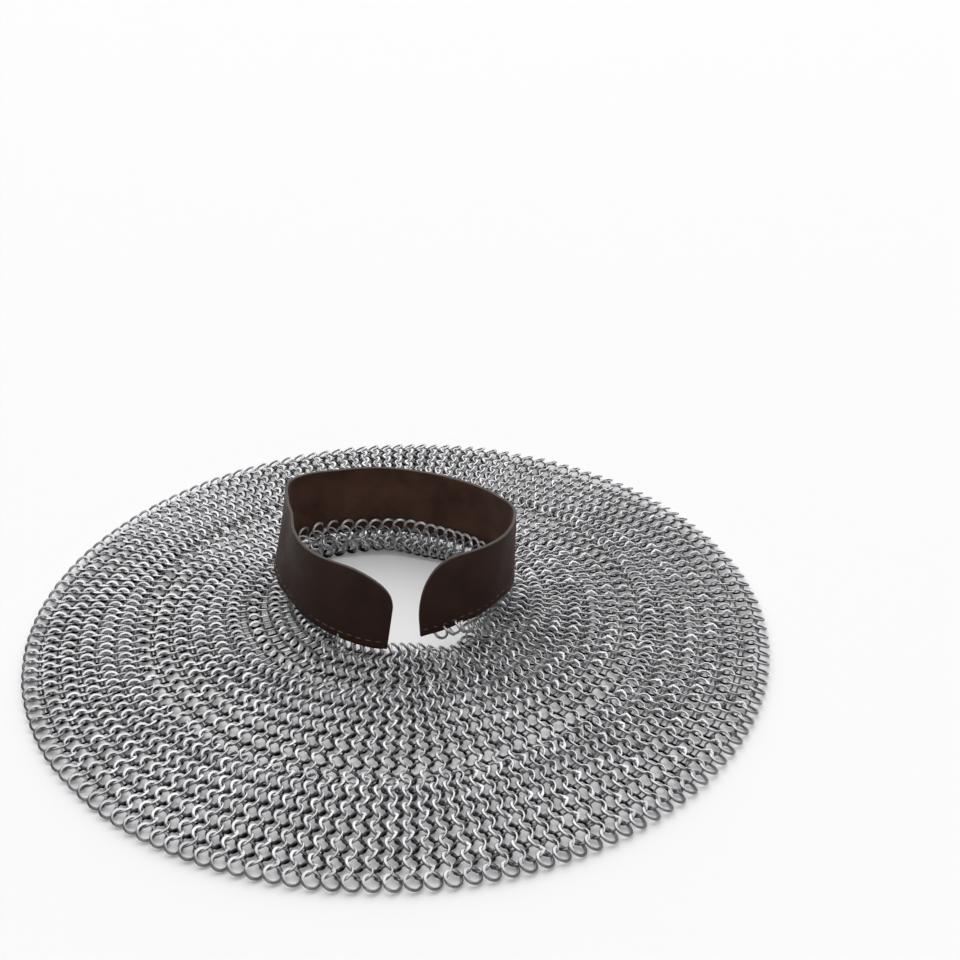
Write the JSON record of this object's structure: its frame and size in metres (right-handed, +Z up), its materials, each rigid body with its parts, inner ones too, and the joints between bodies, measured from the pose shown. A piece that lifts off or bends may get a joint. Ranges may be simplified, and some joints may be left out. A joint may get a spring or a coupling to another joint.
{
  "type": "chainmail aventail",
  "caption": "Round cape of riveted four-in-one mail laid flat, with an open neck and a dark leather band sewn upright round it, parted at the face.",
  "frame": {"origin": "middle of the cape's round rim, on the surface it lies on", "axes": "+Z up; the face opening of the band is towards -Y, so the wearer's left is towards +X"},
  "size_m": [0.5498, 0.55, 0.0792],
  "materials": {
    "mail_steel": "satin zinc-grey steel wire and punched rings, tumbled, with soft highlights",
    "band_leather": "dark brown vegetable-tanned leather, smooth outside, rougher red-brown flesh side inside"
  },
  "bodies": {
    "root": {"mail_outer": "mail_steel", "mail_middle": "mail_steel", "mail_inner": "mail_steel", "mail_neck": "mail_steel", "leather_band": "band_leather"}
  },
  "joints": []
}
